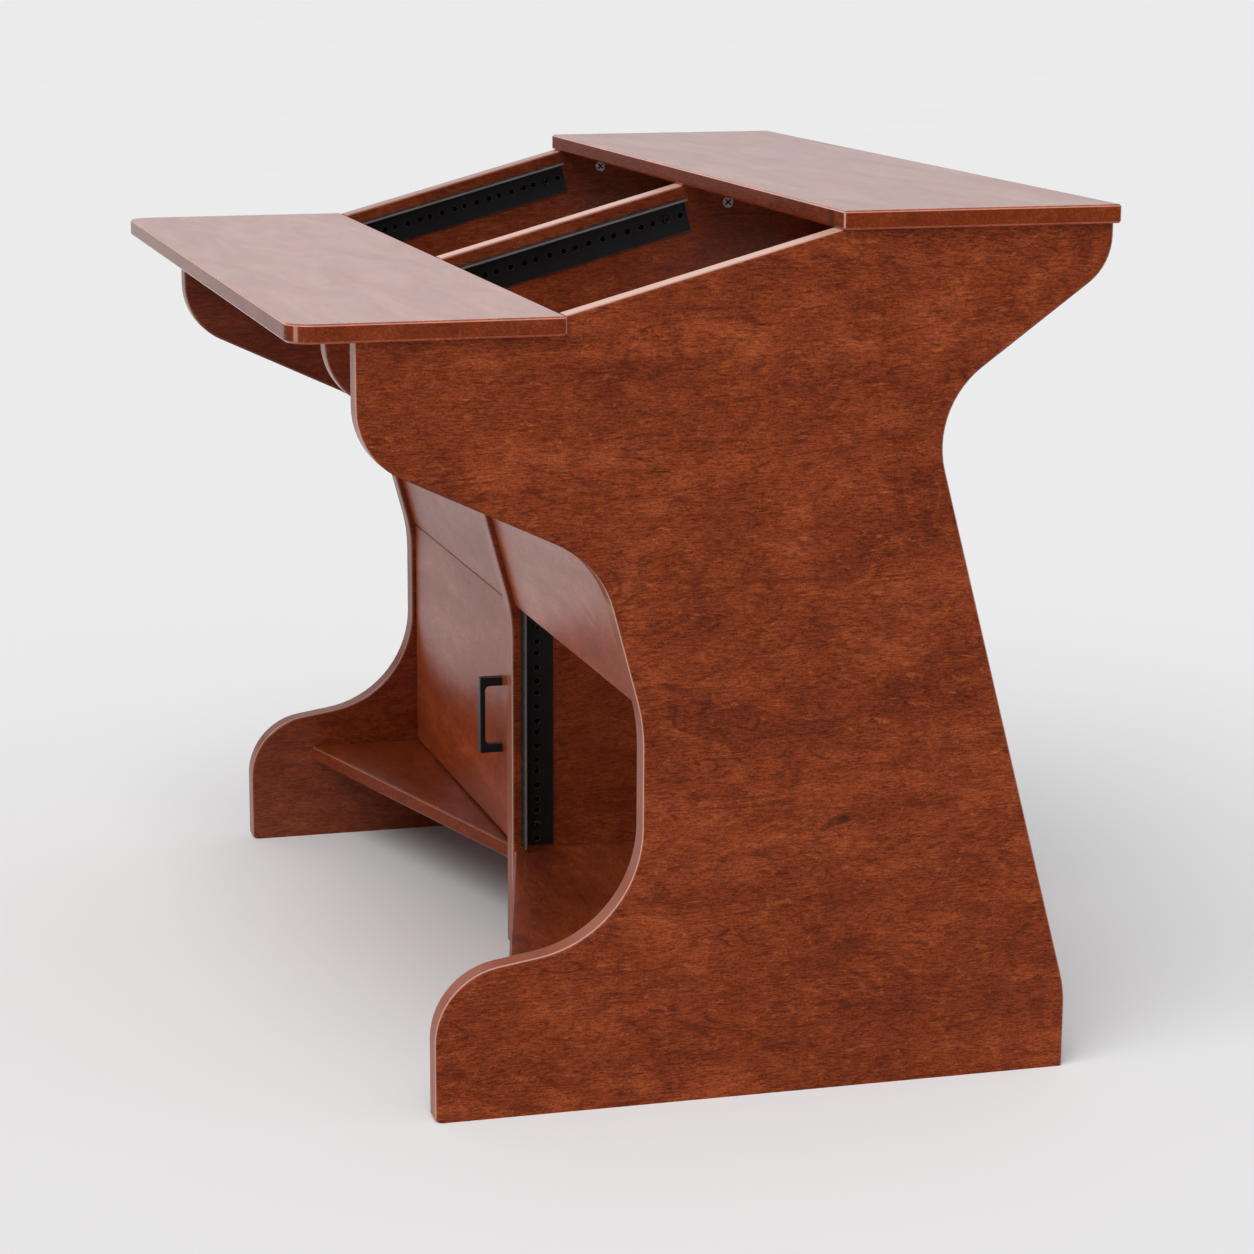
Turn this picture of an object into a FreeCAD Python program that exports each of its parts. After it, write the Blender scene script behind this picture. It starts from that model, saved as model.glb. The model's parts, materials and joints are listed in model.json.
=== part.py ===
"""Recording studio desk.

Three shaped uprights carry a desktop, a top shelf, two slanted rack bays between them, and below
the knee panels a rack bay and a cupboard with a door. X runs to the right, Y to the back, Z up.
The origin lies on the floor, under the middle of the desk's box.
"""
import FreeCAD, Part
import math
import os

os.makedirs("parts", exist_ok=True)

# Overall sizes, in millimetres
top_height = 856.0
desk_height = 767.0
desk_depth = 257.0
rack_run = 263.5
shelf_depth = 277.0
bay_width = 486.0
upright_thickness = 25.0
board_thickness = 18.0
side_overhang = 6.0
desk_corner_radius = 26.0
upright_arris = 2.2
board_arris = 2.0

# Outline of the uprights, in millimetres and degrees; shares are of the height of the knee panels
desk_overhang = 61.0
lobe_share = 0.296
lobe_radius = 72.0
knee_share = 0.407
knee_radius = 100.0
knee_lean = 15.1
bend_drop = 11.0
bend_radius = 175.0
bay_setback = 333.0
foot_reach = 204.0
foot_height = 142.0
foot_radius = 74.0
instep_height = 173.0
instep_radius = 121.0
toe_chamfer = 4.0
heel_setback = 26.5
heel_height = 80.5
heel_radius = 130.0
back_lean = 15.0
waist_drop = 169.5
waist_radius = 92.0
back_lobe_drop = 39.5
back_lobe_radius = 55.0
shelf_overhang = 5.0
divider_lobe_setback = 70.0

# Boards between the uprights
seam_height = 389.0
knee_recess = 7.0
bottom_shelf_top = 114.0
bottom_shelf_nose = 127.5
bottom_shelf_rear_gap = 32.0
rear_rail_height = 90.0
rear_rail_setback = 165.0
housing_depth = 6.0
housing_shoulder = 25.0
rear_rail_shoulder = 12.0
fit_gap = 0.1

# Rack rails: the 19 inch standard's unit, hole rows and column distance
rack_unit = 44.45
unit_holes = (6.35, 22.225, 38.1)
hole_columns = 465.1
rail_width = 18.0
rail_depth = 36.0
rail_thickness = 2.0
rail_bend_radius = 2.0
rail_hole_radius = 2.5
side_hole_radius = 3.1
side_hole_depth = 17.5
upper_rail_recess = 13.0
upper_rail_gap = 1.6
rail_knee_gap = 4.0
lower_rail_recess = 10.0
lower_rail_foot_gap = 4.0
lower_rail_head_gap = 1.3
rail_screw_radius = 2.0
rail_screw_reach = 14.0
rail_screw_head_radius = 4.6
rail_screw_head_height = 2.2

# Sides of the many-sided forms that stand for small round ones
rail_hole_sides = 6
shank_sides = 8
head_sides = 10

# Cam locks and their bolts
cam_radius = 6.0
cam_depth = 16.5
cam_proud = 0.6
cam_drop = 19.0
cam_bolt_radius = 3.5
cam_bolt_seat = 10.0
desk_cam_setback = 25.0
desk_cam_spacing = 70.0
cam_board_gap = 2.0
shelf_cam_setbacks = (53.0, 223.0)

# Door, its pivots, handle and catch
door_recess = 5.0
door_side_gap = 2.5
door_top_gap = 1.5
door_running_gap = 0.3
door_arris = 1.2
pivot_inset = 20.0
pin_radius = 3.0
pin_seat = 14.0
bush_wall = 1.5
bush_length = 8.0
bush_flange_radius = 7.5
bush_flange_thickness = 2.0
pin_clearance = 0.05
handle_inset = 42.5
handle_centres = 76.0
handle_height = 252.0
handle_projection = 25.5
handle_width = 10.0
handle_leg = 9.6
handle_grip = 6.0
handle_inner_radius = 5.0
handle_arris = 0.8
handle_screw_radius = 2.0
handle_screw_reach = 12.0
handle_screw_head_radius = 4.0
handle_screw_head_height = 2.4
strike_width = 14.0
strike_height = 44.0
strike_thickness = 1.5
strike_edge_gap = 3.0
catch_width = 15.0
catch_depth = 26.0
catch_height = 40.0
catch_gap = 0.3

# Places worked out from the sizes above
half_depth = (desk_depth + rack_run + shelf_depth) / 2
desk_front = -half_depth
desk_back = desk_front + desk_depth
shelf_front = desk_back + rack_run
shelf_back = half_depth
desk_under = desk_height - board_thickness
shelf_under = top_height - board_thickness
rack_tilt = math.atan2(shelf_under - desk_height, rack_run)
lobe_front = desk_front + desk_overhang
bay_front = desk_front + bay_setback
bend_height = seam_height - bend_drop
knee_height = desk_under - seam_height
heel_back = shelf_back - heel_setback
bay_pitch = bay_width + upright_thickness
outer_half_width = bay_pitch + upright_thickness / 2
tops_half_width = outer_half_width + side_overhang
upright_lefts = {
    "left": -outer_half_width,
    "middle": -upright_thickness / 2,
    "right": outer_half_width - upright_thickness,
}
bay_lefts = {
    "left": upright_lefts["left"] + upright_thickness,
    "right": upright_lefts["middle"] + upright_thickness,
}
hole_inset = (bay_width - hole_columns) / 2
slope_length = math.hypot(rack_run, shelf_under - desk_height)
bottom_shelf_under = bottom_shelf_top - board_thickness
bottom_shelf_rear = heel_back - bottom_shelf_rear_gap
door_face = bay_front + door_recess
door_back = door_face + board_thickness
door_bottom = bottom_shelf_top + bush_flange_thickness + door_running_gap
door_top = seam_height - door_top_gap
door_left = bay_lefts["left"] + door_side_gap
door_right = bay_lefts["left"] + bay_width - door_side_gap
pivot_x = door_left + pivot_inset
pivot_y = door_face + board_thickness / 2
bush_radius = pin_radius + pin_clearance + bush_wall
handle_x = door_right - handle_inset

along_x = FreeCAD.Vector(1, 0, 0)
along_y = FreeCAD.Vector(0, 1, 0)
along_z = FreeCAD.Vector(0, 0, 1)
tiny = 1e-4


def in_yz(y, z):
    """Point of the plane that the uprights' outlines are drawn in."""
    return FreeCAD.Vector(0, y, z)


def in_xy(x, y):
    """Point of a board's plan."""
    return FreeCAD.Vector(x, y, 0)


def rounded_face(corners, plane):
    """Face inside (a, b, radius) corners, with tangent arcs at those whose radius isn't zero."""
    places = [plane(a, b) for a, b, radius in corners]
    edges = []
    ends = []
    for index, (a, b, radius) in enumerate(corners):
        corner = places[index]
        back = (places[index - 1] - corner).normalize()
        ahead = (places[(index + 1) % len(places)] - corner).normalize()
        half_angle = back.getAngle(ahead) / 2
        reach = radius / math.tan(half_angle)
        start = corner + back * reach
        end = corner + ahead * reach
        if radius > 0:
            inward = (back + ahead).normalize()
            middle = corner + inward * (radius / math.sin(half_angle) - radius)
            edges.append(Part.Arc(start, middle, end).toShape())
        ends.append((start, end))
    for index in range(len(ends)):
        edges.append(Part.LineSegment(ends[index - 1][1], ends[index][0]).toShape())
    return Part.Face(Part.Wire(Part.__sortEdges__(edges)))


def prism(points, x_low, x_high):
    """Solid over a straight-sided outline in Y and Z, from x_low to x_high."""
    face = rounded_face([(y, z, 0.0) for y, z in points], in_yz)
    solid = face.extrude(along_x * (x_high - x_low))
    return solid.translated(along_x * x_low)


def block(x_low, x_high, y_low, y_high, z_low, z_high):
    """Box between two corners, given in any order along X."""
    corner = FreeCAD.Vector(min(x_low, x_high), y_low, z_low)
    return Part.makeBox(abs(x_high - x_low), y_high - y_low, z_high - z_low, corner)


def rod(radius, start, direction, length):
    """Cylinder from a start point along a direction."""
    return Part.makeCylinder(radius, length, FreeCAD.Vector(*start), direction)


def sided_rod(sides, radius, start, direction, length):
    """Prism whose flats touch a circle of the radius, for what is small and round and repeats."""
    corner_radius = radius / math.cos(math.pi / sides)
    corners = []
    for index in range(sides + 1):
        angle = 2 * math.pi * index / sides
        corners.append(FreeCAD.Vector(corner_radius * math.cos(angle), corner_radius * math.sin(angle), 0))
    column = Part.Face(Part.makePolygon(corners)).extrude(along_z * length)
    turn = FreeCAD.Rotation(along_z, direction)
    return column.transformed(FreeCAD.Placement(FreeCAD.Vector(*start), turn).toMatrix())


def headed_screw(seat, into, shank_radius, shank_length, head_radius, head_height):
    """Screw whose head stands on its seat and whose shank goes into the work."""
    head = sided_rod(head_sides, head_radius, seat, into * -1, head_height)
    shank = sided_rod(shank_sides, shank_radius, seat, into, shank_length)
    return head.fuse(shank).removeSplitter()


def save(name, shape):
    shape.exportStep(os.path.join("parts", name + ".step"))


# Uprights
def front_line(height, inset=0.0):
    """Y of the sloping front above the lower bays, or of a line parallel to it and further in."""
    lean = math.radians(knee_lean)
    return bay_front + inset / math.cos(lean) - math.tan(lean) * (height - bend_height)


def upright_outline(lobe_y, has_foot):
    """Corners of an upright, from its toe up the front, over the top and down the back."""
    lobe_z = desk_under - lobe_share * knee_height
    knee_z = seam_height + knee_share * knee_height
    lobe_back = shelf_back - shelf_overhang
    waist_z = shelf_under - waist_drop
    waist_y = heel_back - math.tan(math.radians(back_lean)) * (waist_z - heel_height)
    toe_front = bay_front
    foot = []
    if has_foot:
        toe_front = bay_front - foot_reach
        foot = [(toe_front, foot_height, foot_radius), (bay_front, instep_height, instep_radius)]
    toe = [(toe_front + toe_chamfer, 0.0, 0.0), (toe_front, toe_chamfer, 0.0)]
    front = [
        (bay_front, bend_height, bend_radius),
        (front_line(knee_z), knee_z, knee_radius),
        (lobe_y, lobe_z, lobe_radius),
    ]
    top = [
        (lobe_y, desk_under, 0.0),
        (desk_back, desk_under, 0.0),
        (desk_back, desk_height, 0.0),
        (shelf_front, shelf_under, 0.0),
        (lobe_back, shelf_under, 0.0),
    ]
    back = [
        (lobe_back, shelf_under - back_lobe_drop, back_lobe_radius),
        (waist_y, waist_z, waist_radius),
        (heel_back, heel_height, heel_radius),
        (heel_back, 0.0, 0.0),
    ]
    return toe + foot + front + top + back


def is_open_arris(edge):
    """True along an upright's faces, except where a top or the floor lies against it."""
    box = edge.BoundBox
    on_face = box.XLength < tiny
    level = box.ZLength < tiny
    behind_desktop = box.YLength < tiny and abs(box.YMin - desk_back) < tiny
    return on_face and not level and not behind_desktop


def upright(lobe_y, has_foot, x_left):
    face = rounded_face(upright_outline(lobe_y, has_foot), in_yz)
    solid = face.extrude(along_x * upright_thickness)
    arrises = [edge for edge in solid.Edges if is_open_arris(edge)]
    return solid.makeChamfer(upright_arris, arrises).translated(along_x * x_left)


# Desktop and top shelf
def is_board_arris(edge, straight_front):
    """True round both faces and down the square corners."""
    box = edge.BoundBox
    return box.ZLength < tiny or box.YMin > straight_front - tiny


def top_board(y_low, y_high, z_low, front_radius):
    """Board with eased arrises, its front corners rounded or eased as the rest."""
    plan = [
        (-tops_half_width, y_low, front_radius),
        (tops_half_width, y_low, front_radius),
        (tops_half_width, y_high, 0.0),
        (-tops_half_width, y_high, 0.0),
    ]
    solid = rounded_face(plan, in_xy).extrude(along_z * board_thickness)
    straight_front = y_high if front_radius > 0 else y_low
    arrises = [edge for edge in solid.Edges if is_board_arris(edge, straight_front)]
    return solid.makeChamfer(board_arris, arrises).translated(along_z * z_low)


# Boards that stop in housings in the uprights
def knee_profile(low, high, growth):
    """Level cuts across the sloping knee board, grown all round by a gap."""
    front = knee_recess - growth
    rear = knee_recess + board_thickness + growth
    low = low - growth
    high = high + growth
    return [
        (front_line(low, front), low),
        (front_line(high, front), high),
        (front_line(high, rear), high),
        (front_line(low, rear), low),
    ]


def knee_tongue(growth):
    return knee_profile(seam_height + housing_shoulder, desk_under - housing_shoulder, growth)


def rectangle(y_low, y_high, z_low, z_high, growth):
    return [
        (y_low - growth, z_low - growth),
        (y_low - growth, z_high + growth),
        (y_high + growth, z_high + growth),
        (y_high + growth, z_low - growth),
    ]


def shelf_tongue(growth):
    y_low = bay_front + housing_shoulder
    y_high = bottom_shelf_rear - housing_shoulder
    return rectangle(y_low, y_high, bottom_shelf_under, bottom_shelf_top, growth)


def rear_rail_tongue(growth):
    y_low = shelf_front + rear_rail_setback
    z_low = shelf_under - rear_rail_height + rear_rail_shoulder
    z_high = shelf_under - rear_rail_shoulder
    return rectangle(y_low, y_low + board_thickness, z_low, z_high, growth)


def with_tongues(board, tongue, bay):
    """Adds the ends that reach into both uprights of a bay."""
    reach = housing_depth - fit_gap
    ends = prism(tongue(0.0), bay_lefts[bay] - reach, bay_lefts[bay] + bay_width + reach)
    return board.fuse(ends).removeSplitter()


def knee_panel(bay):
    left = bay_lefts[bay]
    board = prism(knee_profile(seam_height, desk_under, 0.0), left, left + bay_width)
    return with_tongues(board, knee_tongue, bay)


def bottom_shelf(bay):
    """Shelf whose front runs from the side panel's foot back to the divider."""
    left = bay_lefts[bay]
    inner_front = bay_front + upright_arris
    outer_front = bay_front - bottom_shelf_nose
    left_front = outer_front if bay == "left" else inner_front
    right_front = inner_front if bay == "left" else outer_front
    plan = [
        (left, left_front, 0.0),
        (left + bay_width, right_front, 0.0),
        (left + bay_width, bottom_shelf_rear, 0.0),
        (left, bottom_shelf_rear, 0.0),
    ]
    board = rounded_face(plan, in_xy).extrude(along_z * board_thickness)
    front_edges = [edge for edge in board.Edges if edge.BoundBox.YMax < max(left_front, right_front) + tiny]
    level_edges = [edge for edge in front_edges if edge.BoundBox.ZLength < tiny]
    board = board.makeChamfer(board_arris, level_edges).translated(along_z * bottom_shelf_under)
    return with_tongues(board, shelf_tongue, bay)


def rear_rail(bay):
    left = bay_lefts[bay]
    y_low = shelf_front + rear_rail_setback
    z_low = shelf_under - rear_rail_height
    board = block(left, left + bay_width, y_low, y_low + board_thickness, z_low, shelf_under)
    return with_tongues(board, rear_rail_tongue, bay)


def housings(bay):
    """Slots that a bay's boards need in the uprights on both sides of it."""
    slots = []
    for tongue in (knee_tongue, shelf_tongue, rear_rail_tongue):
        outline = tongue(fit_gap)
        for inner_x, direction in ((bay_lefts[bay], -1), (bay_lefts[bay] + bay_width, 1)):
            ends = sorted((inner_x, inner_x + direction * housing_depth))
            slots.append(prism(outline, *ends))
    return slots


# Rack rails
def rail_hole_heights(length):
    """Holes of the whole units that a rail's length takes, in its middle."""
    units = int(length // rack_unit)
    first = (length - units * rack_unit) / 2
    return [first + unit * rack_unit + hole for unit in range(units) for hole in unit_holes]


def rack_rail(side, length, round_ends):
    """Steel angle against an upright at x = 0, its front flange reaching towards side * X.

    With round_ends, its end holes in front, which take the corners of a full panel, are truly round.
    """
    section = [
        (0.0, 0.0, rail_bend_radius),
        (side * rail_width, 0.0, 0.0),
        (side * rail_width, rail_thickness, 0.0),
        (side * rail_thickness, rail_thickness, 0.0),
        (side * rail_thickness, rail_depth, 0.0),
        (0.0, rail_depth, 0.0),
    ]
    rail = rounded_face(section, in_xy).extrude(along_z * length)
    heights = rail_hole_heights(length)
    cutters = []
    through = rail_thickness + 2 * fit_gap
    for height in heights:
        side_start = (-side * fit_gap, side_hole_depth, height)
        cutters.append(sided_rod(rail_hole_sides, side_hole_radius, side_start, along_x * side, through))
        front_start = (side * hole_inset, -fit_gap, height)
        if round_ends and height in (heights[0], heights[-1]):
            cutters.append(rod(rail_hole_radius, front_start, along_y, through))
        else:
            cutters.append(sided_rod(rail_hole_sides, rail_hole_radius, front_start, along_y, through))
    return rail.cut(cutters)


def rail_screw_heights(length):
    heights = rail_hole_heights(length)
    return [heights[1], heights[-2]]


def rail_screws(side, length):
    screws = []
    for height in rail_screw_heights(length):
        seat = (side * rail_thickness, side_hole_depth, height)
        shank = rail_thickness + rail_screw_reach
        sizes = (rail_screw_radius, shank, rail_screw_head_radius, rail_screw_head_height)
        screws.append(headed_screw(seat, along_x * -side, *sizes))
    return screws


def rail_pilot_holes(side, length):
    holes = []
    for height in rail_screw_heights(length):
        start = (0.0, side_hole_depth, height)
        reach = rail_screw_reach + fit_gap
        holes.append(sided_rod(shank_sides, rail_screw_radius + fit_gap, start, along_x * -side, reach))
    return holes


def upper_rail_start():
    """How far up the slope a rail begins, so that its inner end clears the knee panel."""
    lean = math.tan(math.radians(knee_lean))
    depth = upper_rail_recess + rail_depth
    knee_back = front_line(desk_height, knee_recess + board_thickness) + rail_knee_gap
    short = knee_back - desk_back - depth * (math.sin(rack_tilt) - lean * math.cos(rack_tilt))
    return max(upper_rail_gap, short / (math.cos(rack_tilt) + lean * math.sin(rack_tilt)))


def upper_rail_length():
    return slope_length - upper_rail_start() - upper_rail_gap


def lower_rail_length():
    return seam_height - lower_rail_head_gap - bottom_shelf_top - lower_rail_foot_gap


def upper_rail_place(x):
    """Along the slanted edge, below it by the recess."""
    start = upper_rail_start()
    y = desk_back + start * math.cos(rack_tilt) + upper_rail_recess * math.sin(rack_tilt)
    z = desk_height + start * math.sin(rack_tilt) - upper_rail_recess * math.cos(rack_tilt)
    turn = FreeCAD.Rotation(along_x, math.degrees(rack_tilt) - 90)
    return FreeCAD.Placement(FreeCAD.Vector(x, y, z), turn)


def lower_rail_place(x):
    place = FreeCAD.Vector(x, bay_front + lower_rail_recess, bottom_shelf_top + lower_rail_foot_gap)
    return FreeCAD.Placement(place, FreeCAD.Rotation())


def placed(shapes, placement):
    return [shape.transformed(placement.toMatrix()) for shape in shapes]


def rail_places():
    """Name, side, length, round end holes or not, and placement of each rail."""
    places = []
    for bay, level, length, round_ends, placement in (
        ("left", "upper", upper_rail_length(), False, upper_rail_place),
        ("right", "upper", upper_rail_length(), False, upper_rail_place),
        ("right", "lower", lower_rail_length(), True, lower_rail_place),
    ):
        left = bay_lefts[bay]
        stem = level + "_" + bay + "_bay_rail_"
        places.append((stem + "left", 1, length, round_ends, placement(left)))
        places.append((stem + "right", -1, length, round_ends, placement(left + bay_width)))
    return places


# Cam locks, each in the inner face of an upright, drawing a bolt down from a top
def cam_places():
    """Inner face, direction into the upright, and Y and seat height of each cam joint."""
    faces = [
        (bay_lefts["left"], -1),
        (bay_lefts["right"], -1),
        (bay_lefts["right"] + bay_width, 1),
    ]
    knee_face = front_line(desk_under, knee_recess)
    rear_cam = min(desk_back - desk_cam_setback, knee_face - cam_radius - cam_board_gap)
    joints = [(rear_cam, desk_under), (rear_cam - desk_cam_spacing, desk_under)]
    joints += [(shelf_front + setback, shelf_under) for setback in shelf_cam_setbacks]
    return [(x, direction, y, seat) for x, direction in faces for y, seat in joints]


def cam_lock(x, direction, y, seat, growth):
    start = (x - direction * cam_proud, y, seat - cam_drop)
    length = cam_proud + cam_depth + growth
    return sided_rod(head_sides, cam_radius + growth, start, along_x * direction, length)


def cam_bolt(x, direction, y, seat, growth):
    """Bolt from the cam up into the top board."""
    low = seat - cam_drop + cam_radius / math.cos(math.pi / head_sides) + fit_gap
    length = seat + cam_bolt_seat + growth - low
    start = (x + direction * upright_thickness / 2, y, low)
    return sided_rod(shank_sides, cam_bolt_radius + growth, start, along_z, length)


# Door
def door_panel():
    panel = block(door_left, door_right, door_face, door_back, door_bottom, door_top)
    panel = panel.makeChamfer(door_arris, panel.Edges)
    pin_hole = pin_radius + fit_gap
    lower_start = (pivot_x, pivot_y, door_bottom - fit_gap)
    upper_start = (pivot_x, pivot_y, door_top - pin_seat - fit_gap)
    cutters = [
        sided_rod(head_sides, pin_hole, lower_start, along_z, pin_seat + 2 * fit_gap),
        sided_rod(head_sides, pin_hole, upper_start, along_z, pin_seat + 2 * fit_gap),
    ]
    for height in handle_leg_heights():
        start = (handle_x, door_face - fit_gap, height)
        through = board_thickness + 2 * fit_gap
        cutters.append(sided_rod(shank_sides, handle_screw_radius + fit_gap, start, along_y, through))
    return panel.cut(cutters)


def upper_pin():
    length = pin_seat + door_top_gap + bush_length - fit_gap
    return rod(pin_radius, (pivot_x, pivot_y, door_top - pin_seat), along_z, length)


def lower_pin():
    low = bottom_shelf_top - bush_length + fit_gap
    return rod(pin_radius, (pivot_x, pivot_y, low), along_z, door_bottom + pin_seat - low)


def bush(low, length):
    return sided_rod(head_sides, bush_radius, (pivot_x, pivot_y, low), along_z, length)


def pin_bore(low, length):
    return rod(pin_radius + pin_clearance, (pivot_x, pivot_y, low), along_z, length)


def upper_bush():
    return bush(seam_height, bush_length).cut(pin_bore(seam_height, bush_length))


def lower_bush():
    low = bottom_shelf_top - bush_length
    flange_start = (pivot_x, pivot_y, bottom_shelf_top)
    flange = sided_rod(head_sides, bush_flange_radius, flange_start, along_z, bush_flange_thickness)
    body = bush(low, bush_length).fuse(flange).removeSplitter()
    return body.cut(pin_bore(low, bush_length + bush_flange_thickness))


def bush_hole(low):
    start = (pivot_x, pivot_y, low)
    return sided_rod(head_sides, bush_radius + fit_gap, start, along_z, bush_length + fit_gap)


def handle_leg_heights():
    return [handle_height - handle_centres / 2, handle_height + handle_centres / 2]


def door_handle():
    """Square-cornered bow, rounded inside, cut from one bar."""
    low = handle_height - handle_centres / 2 - handle_leg / 2
    high = handle_height + handle_centres / 2 + handle_leg / 2
    grip_face = door_face - handle_projection
    grip_inside = grip_face + handle_grip
    outline = [
        (door_face, low, 0.0),
        (grip_face, low, 0.0),
        (grip_face, high, 0.0),
        (door_face, high, 0.0),
        (door_face, high - handle_leg, 0.0),
        (grip_inside, high - handle_leg, handle_inner_radius),
        (grip_inside, low + handle_leg, handle_inner_radius),
        (door_face, low + handle_leg, 0.0),
    ]
    bow = rounded_face(outline, in_yz).extrude(along_x * handle_width)
    outer_edges = [edge for edge in bow.Edges if edge.BoundBox.YMax < grip_face + tiny]
    bow = bow.makeChamfer(handle_arris, outer_edges)
    bow = bow.translated(along_x * (handle_x - handle_width / 2))
    holes = []
    for height in handle_leg_heights():
        start = (handle_x, door_face - handle_screw_reach - fit_gap, height)
        reach = handle_screw_reach + 2 * fit_gap
        holes.append(sided_rod(shank_sides, handle_screw_radius + fit_gap, start, along_y, reach))
    return bow.cut(holes)


def handle_screws():
    screws = []
    for height in handle_leg_heights():
        seat = (handle_x, door_back, height)
        length = board_thickness + handle_screw_reach
        sizes = (handle_screw_radius, length, handle_screw_head_radius, handle_screw_head_height)
        screws.append(headed_screw(seat, along_y * -1, *sizes))
    return Part.makeCompound(screws)


def strike_plate():
    right = door_right - strike_edge_gap
    low = handle_height - strike_height / 2
    back = door_back + strike_thickness
    return block(right - strike_width, right, door_back, back, low, low + strike_height)


def magnetic_catch():
    """Block on the divider that the strike plate closes against."""
    right = bay_lefts["left"] + bay_width
    front = door_back + strike_thickness + catch_gap
    low = handle_height - catch_height / 2
    return block(right - catch_width, right, front, front + catch_depth, low, low + catch_height)


# Assembly
rail_cuts = []
screws = []
for name, side, length, round_ends, placement in rail_places():
    save(name, placed([rack_rail(side, length, round_ends)], placement)[0])
    screws += placed(rail_screws(side, length), placement)
    rail_cuts += placed(rail_pilot_holes(side, length), placement)
save("rack_rail_screws", Part.makeCompound(screws))

cams = cam_places()
save("cam_locks", Part.makeCompound([cam_lock(*cam, 0.0) for cam in cams]))
save("cam_bolts", Part.makeCompound([cam_bolt(*cam, 0.0) for cam in cams]))
cam_holes = [cam_lock(*cam, fit_gap) for cam in cams]
bolt_holes = [cam_bolt(*cam, fit_gap) for cam in cams]

upright_cuts = rail_cuts + cam_holes + bolt_holes + housings("left") + housings("right")
side_lobe = lobe_front
middle_lobe = lobe_front + divider_lobe_setback
save("left_side_panel", upright(side_lobe, True, upright_lefts["left"]).cut(upright_cuts))
save("center_divider", upright(middle_lobe, False, upright_lefts["middle"]).cut(upright_cuts))
save("right_side_panel", upright(side_lobe, True, upright_lefts["right"]).cut(upright_cuts))

desktop = top_board(desk_front, desk_back, desk_under, desk_corner_radius)
save("desktop", desktop.cut(bolt_holes))
top_shelf = top_board(shelf_front, shelf_back, shelf_under, 0.0)
save("top_shelf", top_shelf.cut(bolt_holes))

save("left_knee_panel", knee_panel("left").cut(bush_hole(seam_height - fit_gap)))
save("right_knee_panel", knee_panel("right"))
lower_bush_hole = bush_hole(bottom_shelf_top - bush_length)
save("left_bottom_shelf", bottom_shelf("left").cut(lower_bush_hole))
save("right_bottom_shelf", bottom_shelf("right"))
save("left_rear_rail", rear_rail("left"))
save("right_rear_rail", rear_rail("right"))

save("door", door_panel())
save("upper_pivot_pin", upper_pin())
save("lower_pivot_pin", lower_pin())
save("upper_pivot_bush", upper_bush())
save("lower_pivot_bush", lower_bush())
save("door_handle", door_handle())
save("handle_screws", handle_screws())
save("strike_plate", strike_plate())
save("magnetic_catch", magnetic_catch())
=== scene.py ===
"""Looks of the recording studio desk: stained wood with a satin lacquer, black rails, zinc fasteners."""
import bmesh
import bpy
import json
import math
from collections import namedtuple
from mathutils import Matrix, Vector

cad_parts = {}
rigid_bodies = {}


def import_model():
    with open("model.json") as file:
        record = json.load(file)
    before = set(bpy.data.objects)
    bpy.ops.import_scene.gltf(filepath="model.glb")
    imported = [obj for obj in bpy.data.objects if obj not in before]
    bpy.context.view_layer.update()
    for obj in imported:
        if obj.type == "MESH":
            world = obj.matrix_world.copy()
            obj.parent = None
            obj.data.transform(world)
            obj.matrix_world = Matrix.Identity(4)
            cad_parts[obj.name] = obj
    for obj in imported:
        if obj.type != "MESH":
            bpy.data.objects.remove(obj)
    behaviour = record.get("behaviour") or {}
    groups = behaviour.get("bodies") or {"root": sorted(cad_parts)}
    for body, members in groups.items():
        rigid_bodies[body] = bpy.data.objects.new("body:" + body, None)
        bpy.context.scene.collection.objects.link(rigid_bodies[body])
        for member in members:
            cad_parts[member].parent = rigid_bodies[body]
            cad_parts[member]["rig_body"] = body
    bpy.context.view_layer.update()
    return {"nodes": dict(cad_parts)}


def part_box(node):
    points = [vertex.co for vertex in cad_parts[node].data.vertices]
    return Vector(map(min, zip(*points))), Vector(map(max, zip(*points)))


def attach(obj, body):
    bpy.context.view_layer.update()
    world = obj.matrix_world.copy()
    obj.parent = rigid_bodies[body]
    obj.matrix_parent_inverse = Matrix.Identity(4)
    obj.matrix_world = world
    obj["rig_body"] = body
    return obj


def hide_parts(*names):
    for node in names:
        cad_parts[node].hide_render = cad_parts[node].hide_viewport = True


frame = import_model()

# Camera, in metres, degrees and pixels of the square picture
picture_size = 1254
focal_pixels = 3328.7
camera_azimuth = 75.206
camera_elevation = 13.373
camera_distance = 3.65987
camera_target = Vector((0.0, -0.0137, 0.28905))
axis_pixel = (555.3, 690.2)
sensor_width = 36.0
sight_limit = 200.0

# Light: levels, tone, and the key lamp's direction and its softness in degrees
sky_level = 0.45
backdrop_level = 0.84
backdrop_tone = (0.99, 0.992, 1.0, 1.0)
key_level = 2.1
key_direction = (0.5, -0.45, 1.0)
key_softness = 50.0

# Surroundings in reflections: dimmer towards +X and low down, over these parts of a unit direction
side_level = 0.35
side_start = 0.8
side_end = -0.2
horizon_level = 0.3
horizon_start = 0.08
horizon_end = 0.16

# Noises: waves per metre along and across the grain, detail and distortion
Waves = namedtuple("Waves", "along across detail distortion", defaults=(0.0,))
noise_roughness = 0.6

# Bands of a noise: where a colour sets in, from and to, and how much of it shows at most
Band = namedtuple("Band", "low high share", defaults=(1.0,))

# Floor
floor_tone = (0.845, 0.846, 0.852, 1.0)
floor_shade = 0.97
floor_reach = 60.0
floor_waves = Waves(1.2, 1.2, 3.0)
floor_roughness = 0.6

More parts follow.
